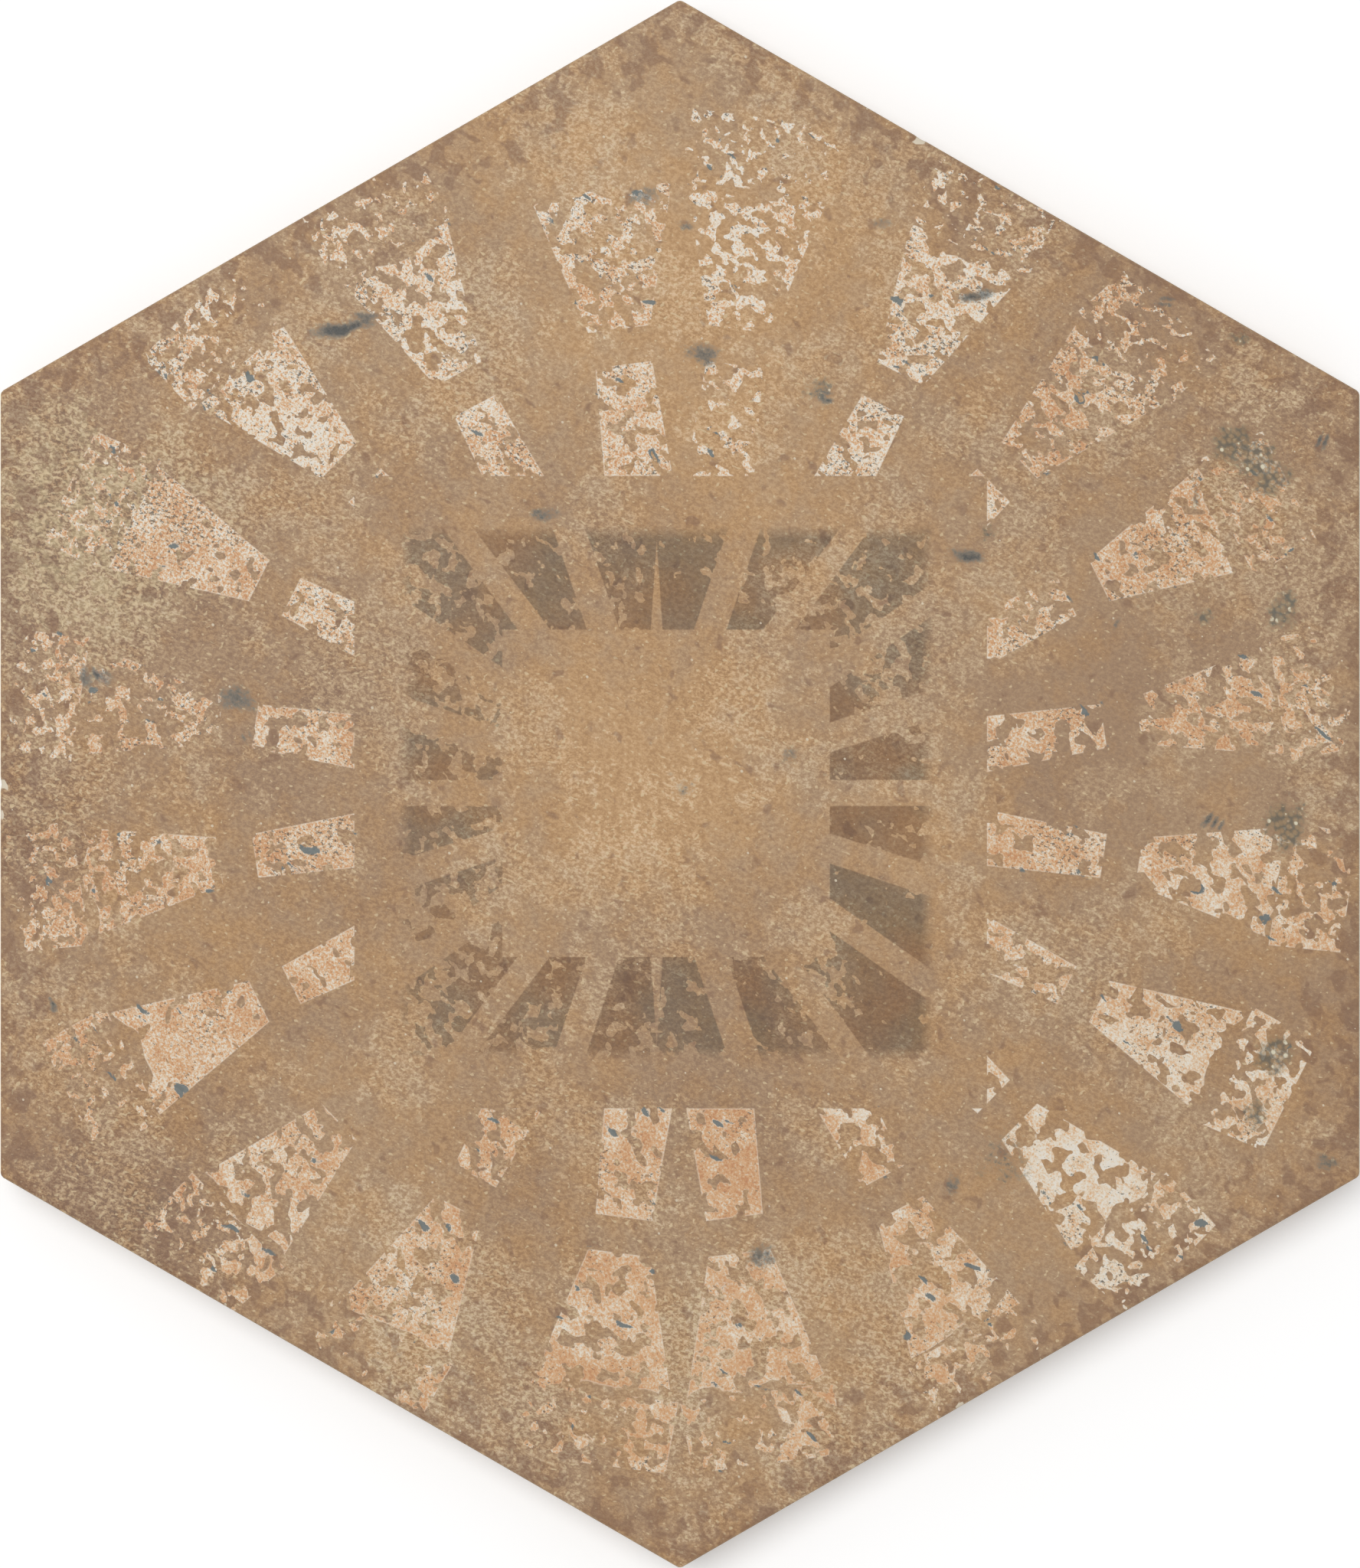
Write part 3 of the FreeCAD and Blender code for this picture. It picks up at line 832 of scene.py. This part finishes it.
def rim_distance(tree, place):
    """How far a point is inside the tile's outline, by the same rule as edge_distance."""
    reach = None
    for degrees in (0, 60, 120):
        facing = (math.cos(math.radians(degrees)), math.sin(math.radians(degrees)), 0)
        side = add(tree, "VectorMath DOT_PRODUCT", [place, facing], out="Value")
        side = add(tree, "ABSOLUTE", [side])
        reach = side if reach is None else add(tree, "MAXIMUM", [reach, side])
    return add(tree, "SUBTRACT", [ACROSS_FLATS / 2, reach])


def glazed_face():
    """Matt glazed porcelain: ink printed on the pressed tile under a dry matt glaze and fired.
    The eye sees a soft earthy ground with hardly any shine, crisp edges where the print was
    laid, and curled holes where the light ink has worn off."""
    material, tree, place, flat = new_material("matt_glazed_porcelain")
    warp = {"Vector": flat, "Scale": 1 / WARP, "Detail": 0}
    warp = add(tree, "TexNoise", warp, out="Color", noise_dimensions="2D")
    warp = add(tree, "VectorMath SUBTRACT", [warp, (0.5, 0.5, 0.5)])
    warped = add(tree, "VectorMath MULTIPLY_ADD", {0: warp, 1: (1, 1, 0), 2: flat})
    smudge, crust, nick, wear_by_place = four_numbers(tree, "Attribute", attribute_name="marks")
    pale, speckled, rim_worn, swarm = four_numbers(tree, "Attribute", attribute_name="ink")
    brushed = add(tree, "VectorMath MULTIPLY", [place, (0.85, 1.2, 1)])
    brushed = turned_askew(tree, brushed)
    colour, grain, mottle = ground(tree, flat, warped, brushed)

    # Burnt spots, sparse in the middle and run together along the rim
    rim = rim_distance(tree, place)
    scorch = {"Vector": warped, "Scale": 1 / SCORCH, "Detail": 2, "Roughness": 0.65}
    scorch = add(tree, "TexNoise", scorch, noise_dimensions="2D")
    level = add(tree, "MapRange", [rim, 0, 11, 0.44, 0.65])
    scorch = add(tree, "SUBTRACT", [scorch, level])
    scorch = add(tree, "MapRange", [scorch, 0, 0.09, 0, 0.5])
    colour = layered(tree, colour, [(scorch, paint("#775540"))])

    # The dark rays, a tint that multiplies the ground, with painted highlight on the lips round its
    # holes
    dark, lip_highlight = dark_rays(tree, place, warped, wear_by_place)
    greyer = add(tree, "MapRange", [rim_worn, -0.3, 0.3])
    shade = layered(tree, paint("#c8bcb0"), [(greyer, paint("#bcc0c3"))])
    shaded = {0: 1, 6: colour, 7: shade}
    shaded = add(tree, "Mix", shaded, out=2, data_type="RGBA", blend_type="MULTIPLY")
    # The lips' painted highlight, laid on at a fifth of its strength
    lip_highlight = add(tree, "MULTIPLY", [lip_highlight, 0.2])
    colour = layered(tree, colour, [(dark, shaded), (lip_highlight, paint("#d2b489"))])

    # The light rays, as a film of ink worn through in curled holes
    depth, wear, cream, rimward = light_rays(tree, place, swarm)
    size = add(tree, "MapRange", [speckled, 0.5, 0.8, 0.88, 1.12])
    rim_size = add(tree, "Mix", {0: rimward, 2: 1, 3: 1.35})
    size = add(tree, "MULTIPLY", [size, rim_size])
    sized = add(tree, "VectorMath SCALE", {0: warped, "Scale": size})
    holes = {"Vector": sized, "Scale": 1 / LIGHT_RAY_HOLE, "Detail": 1.6, "Roughness": 0.52}
    holes = add(tree, "TexNoise", holes, noise_dimensions="2D")
    wear = add(tree, "MULTIPLY_ADD", [wear_by_place, 0.07, wear])
    patchy = add(tree, "MULTIPLY", [rimward, 0.22])
    wear = add(tree, "MULTIPLY_ADD", [rim_worn, patchy, wear])
    margin = add(tree, "MapRange", [rim, 0.5, 4, 0.16, 0])
    wear = add(tree, "ADD", [wear, margin])
    left = add(tree, "SUBTRACT", [holes, wear])
    kept = add(tree, "MapRange", [left, 0, 0.012])
    inside = add(tree, "MapRange", [depth, 0, 0.12])
    film = add(tree, "MULTIPLY", [kept, inside])

    # Its ink runs from orange through peach and cream to nearly white, in patches and fine
    # speckle. The peach is thinner and lets some of the ground through
    tint = {"Vector": warped, "Scale": 1 / INK_PATCH, "Detail": 3, "Roughness": 0.65}
    tint = add(tree, "TexNoise", tint, noise_dimensions="2D")
    speck = {"Vector": flat, "Scale": 1 / INK_SPECKLE, "Detail": 1, "Roughness": 1}
    speck = add(tree, "TexNoise", speck, out="Color", noise_dimensions="2D")
    tint_speck, rough_speck = add(tree, "SeparateColor", [speck], out=("Red", "Green"))
    tint = add(tree, "MapRange", [tint, 0.3, 0.7, -0.20, 0.20], clamp=False)
    tint = add(tree, "MULTIPLY_ADD", [cream, 0.30, tint])
    tint = add(tree, "MULTIPLY_ADD", [pale, 0.22, tint])
    finely = add(tree, "MapRange", [tint_speck, 0.3, 0.7, -0.56, 0.56], clamp=False)
    finely = add(tree, "MULTIPLY_ADD", [finely, speckled, 0.42])
    tinted = add(tree, "ADD", [tint, finely])
    ink = add(tree, "ValToRGB", [tinted], stops=[
        (0, paint("#c28659")), (0.22, paint("#d19d6d")), (0.42, paint("#d8ad82")),
        (0.62, paint("#ddc5a8")), (0.82, paint("#e4d6c1")), (1, paint("#e4dccf")),
    ])
    # Pale rims round the holes and along the pieces' edges: a painted highlight, as if the film
    # stood up from the ground
    hole_edge_highlight = add(tree, "MapRange", [left, 0.028, 0.012, 0, 0.35])
    piece_edge_highlight = add(tree, "MapRange", [depth, 0.26, 0.12, 0, 0.5])
    edge = add(tree, "MAXIMUM", [hole_edge_highlight, piece_edge_highlight])
    level = add(tree, "MapRange", [swarm, -0.2, 0.5, 0.26, 0.36])
    level = add(tree, "MULTIPLY_ADD", [speckled, 0.125, level])
    past = add(tree, "SUBTRACT", [level, grain])
    soot = add(tree, "MapRange", [past, 0, 0.025, 0, 0.85])

    # Slate slots in and beside the pieces, with pale rims painted as a highlight
    flattened = add(tree, "VectorMath MULTIPLY", [warped, (0.65, 1.35, 1)])
    slot = {"Vector": flattened, "Scale": 1 / SLOT, "Detail": 1, "Roughness": 0.5}
    slot = add(tree, "TexNoise", slot, noise_dimensions="2D")
    slot = add(tree, "MULTIPLY_ADD", [rough_speck, 0.10, slot])
    slate = add(tree, "MapRange", [slot, 0.81, 0.83, 0, 0.95])
    near = add(tree, "MapRange", [depth, -0.4, -0.1])
    slate = add(tree, "MULTIPLY", [slate, near])
    near = add(tree, "MapRange", [left, -0.07, -0.05])
    slate = add(tree, "MULTIPLY", [slate, near])
    lip_highlight = add(tree, "MapRange", [slot, 0.78, 0.805, 0, 0.6])
    edge = add(tree, "MAXIMUM", [edge, lip_highlight])
    # The edges and the slots' lips take a pale cream that is painted highlight
    ink = layered(tree, ink, [(edge, paint("#e7d9c5")), (soot, paint("#474238"))])
    thin = add(tree, "MapRange", [tint, -0.1, 0.25, 0.82, 1])
    seen = add(tree, "MULTIPLY", [film, thin])
    colour = layered(tree, colour, [(seen, ink), (slate, paint("#626a69"))])
    colour, stain = stains(tree, flat, colour, smudge, crust, mottle, grain)

    # White specks, a painted highlight along the arris, and bare nicks
    white = specks(tree, flat, WHITE_SPECK_SPACING, 0.034, 0.75, 0.55, voronoi_dimensions="2D")
    # A paler line along the rounded arris: painted highlight
    arris = add(tree, "MapRange", [rim, 0.30, 0.10, 0, 0.25])
    nick = add(tree, "MapRange", [nick, 0.35, 0.5])
    colour = layered(tree, colour, [
        (white, paint("#dccfb6")), (arris, paint("#bfa684")), (nick, paint("#d9ccb6")),
    ])

    # Grain as fine relief, and gloss that the ink and stains change
    relief = add(tree, "Bump", {"Strength": 0.5, "Distance": 0.04 * MM, "Height": grain})
    rough = add(tree, "MapRange", [rough_speck, 0.3, 0.7, 0.68, 0.56])
    rough = add(tree, "MULTIPLY_ADD", [film, -0.06, rough])
    rough = add(tree, "MULTIPLY_ADD", [stain, -0.12, rough])
    fired(tree, colour, rough, relief)
    return material


def bare_biscuit():
    """Unglazed porcelain biscuit: dry-pressed powder, fired hard. The eye sees a dry, even
    beige body with fine iron specks, flashed darker near the glaze, and on the back a chalky
    wash from the kiln rollers that has stayed on the ribs and a little in the cells."""
    material, tree, place, askew = new_material("unglazed_porcelain_biscuit")
    height = add(tree, "SeparateXYZ", [place], out="Z")
    clay = {"Vector": askew, "Scale": 1 / CLAY_CLOUD, "Detail": 4, "Roughness": 0.6}
    clay = add(tree, "TexNoise", clay)
    colour = add(tree, "ValToRGB", [clay], stops=[
        (0.3, paint("#a98f73")), (0.5, paint("#b69c7f")), (0.7, paint("#c1aa8d")),
    ])
    grit = {"Vector": askew, "Scale": 1 / GRIT, "Detail": 2, "Roughness": 0.7}
    grit = add(tree, "TexNoise", grit)
    light_grit = add(tree, "MapRange", [grit, 0.55, 0.70, 0, 0.45])
    dark_grit = add(tree, "MapRange", [grit, 0.38, 0.28, 0, 0.5])
    iron = specks(tree, askew, IRON_SPACING, 0.075, 0.6, 0.6)

    # Chalky wash on the back's ribs, rubbed thin in patches, and a little in the cells
    rubbed = {"Vector": askew, "Scale": 1 / WASH_PATCH, "Detail": 4, "Roughness": 0.7}
    rubbed = add(tree, "TexNoise", rubbed)
    on_rib = add(tree, "MapRange", [height, 0.35, 0.06, 0.12, 0.95])
    chalky = add(tree, "MapRange", [rubbed, 0.38, 0.58, 0.15, 0.9])
    wash = add(tree, "MULTIPLY", [on_rib, chalky])
    below = add(tree, "MapRange", [height, 1.2, 0.9])
    wash = add(tree, "MULTIPLY", [wash, below])

    # Overspray of the glaze on the top of the flank
    ragged = add(tree, "MapRange", [rubbed, 0.3, 0.7, -0.7, 0.7])
    sprayed = add(tree, "ADD", [height, ragged])
    sprayed = add(tree, "MapRange", [sprayed, 7, 8.3, 0, 0.85])
    colour = layered(tree, colour, [
        (light_grit, paint("#cdb99d")), (dark_grit, paint("#96795f")), (iron, paint("#6f5440")),
        (wash, paint("#d9cfbd")), (sprayed, paint("#a3866a")),
    ])
    relief_height = add(tree, "ADD", [grit, clay])
    relief = add(tree, "Bump", {"Strength": 0.8, "Distance": 0.08 * MM, "Height": relief_height})
    rough = add(tree, "MapRange", [grit, 0.3, 0.7, 0.92, 0.8])
    fired(tree, colour, rough, relief)
    return material


# Floor, light and camera, in metres and watts, and the lens in millimetres

FLOOR_HALF = 2.5
SURROUND_STRENGTH = 0.50
LAMP_PLACE = (-0.28, 0.28, 1.24)
LAMP_WIDTH = 0.8
LAMP_POWER = 7.8
LENS = 100


def white_to_camera(tree):
    """1 where a ray comes from the camera or through gloss or glass, and 0 elsewhere."""
    camera, glossy, through = add(
        tree, "LightPath", out=("Is Camera Ray", "Is Glossy Ray", "Is Transmission Ray"),
    )
    seen = add(tree, "MAXIMUM", [camera, glossy])
    return add(tree, "MAXIMUM", [seen, through])


def make_floor():
    """A plain pale floor, matt, with the tile's soft shadow on it. To the camera it is lifted
    to white, more so far away, where less of the lamp's light falls. The light that it throws
    back on the tile isn't lifted."""
    material, tree, place, _ = new_material("pale_floor")
    seen = white_to_camera(tree)
    colour = layered(tree, paint("#e6e4e0"), [(seen, (1, 1, 1, 1))])
    matt = add(tree, "BsdfDiffuse", {"Color": colour})
    away = add(tree, "VectorMath LENGTH", [place], out="Value")
    lift = add(tree, "MapRange", [away, 300, 1300, 0.14, 0.6])
    lift = add(tree, "MULTIPLY", [seen, lift])
    glow = add(tree, "Emission", {"Strength": lift})
    surface = add(tree, "AddShader", [matt, glow])
    add(tree, "OutputMaterial", {"Surface": surface})
    mesh = bpy.data.meshes.new("floor")
    corners = [(x * FLOOR_HALF, y * FLOOR_HALF, 0) for x, y in ((-1, -1), (1, -1), (1, 1), (-1, 1))]
    mesh.from_pydata(corners, [], [(0, 1, 2, 3)])
    mesh.materials.append(material)
    floor = bpy.data.objects.new("floor", mesh)
    bpy.context.scene.collection.objects.link(floor)


def make_light():
    """Soft studio light: an even white surround, and one wide lamp above to the upper left."""
    world = bpy.data.worlds.new("studio")
    bpy.context.scene.world = world
    world.use_nodes = True
    tree = world.node_tree
    tree.nodes.clear()
    seen = white_to_camera(tree)
    strength = add(tree, "Mix", {0: seen, 2: SURROUND_STRENGTH, 3: 1})
    sky = add(tree, "Background", {"Color": (1, 1, 1, 1), "Strength": strength})
    add(tree, "OutputWorld", {"Surface": sky})
    lamp = bpy.data.lights.new("soft_box", "AREA")
    lamp.shape = "DISK"
    lamp.size = LAMP_WIDTH
    lamp.energy = LAMP_POWER
    soft_box = bpy.data.objects.new("soft_box", lamp)
    soft_box.location = LAMP_PLACE
    soft_box.rotation_mode = "QUATERNION"
    soft_box.rotation_quaternion = soft_box.location.to_track_quat("Z", "Y")
    bpy.context.scene.collection.objects.link(soft_box)


def make_camera():
    """Straight above the middle of the tile, far enough for its face to fill the photograph's
    height: half that height over the tangent of half the lens's angle."""
    lens = bpy.data.cameras.new("camera")
    lens.lens = LENS
    half_height = PHOTO_HEIGHT / PIXELS_PER_MM / 2 * MM
    away = half_height / (lens.sensor_width / 2 / lens.lens)
    camera = bpy.data.objects.new("camera", lens)
    camera.location = (0, 0, THICKNESS * MM + away)
    bpy.context.scene.collection.objects.link(camera)
    bpy.context.scene.camera = camera
    bpy.context.scene.view_settings.view_transform = "Standard"


make_camera()
make_light()
make_floor()
tile = make_tile([glazed_face(), bare_biscuit()])
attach(tile, "root")
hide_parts(NODE)
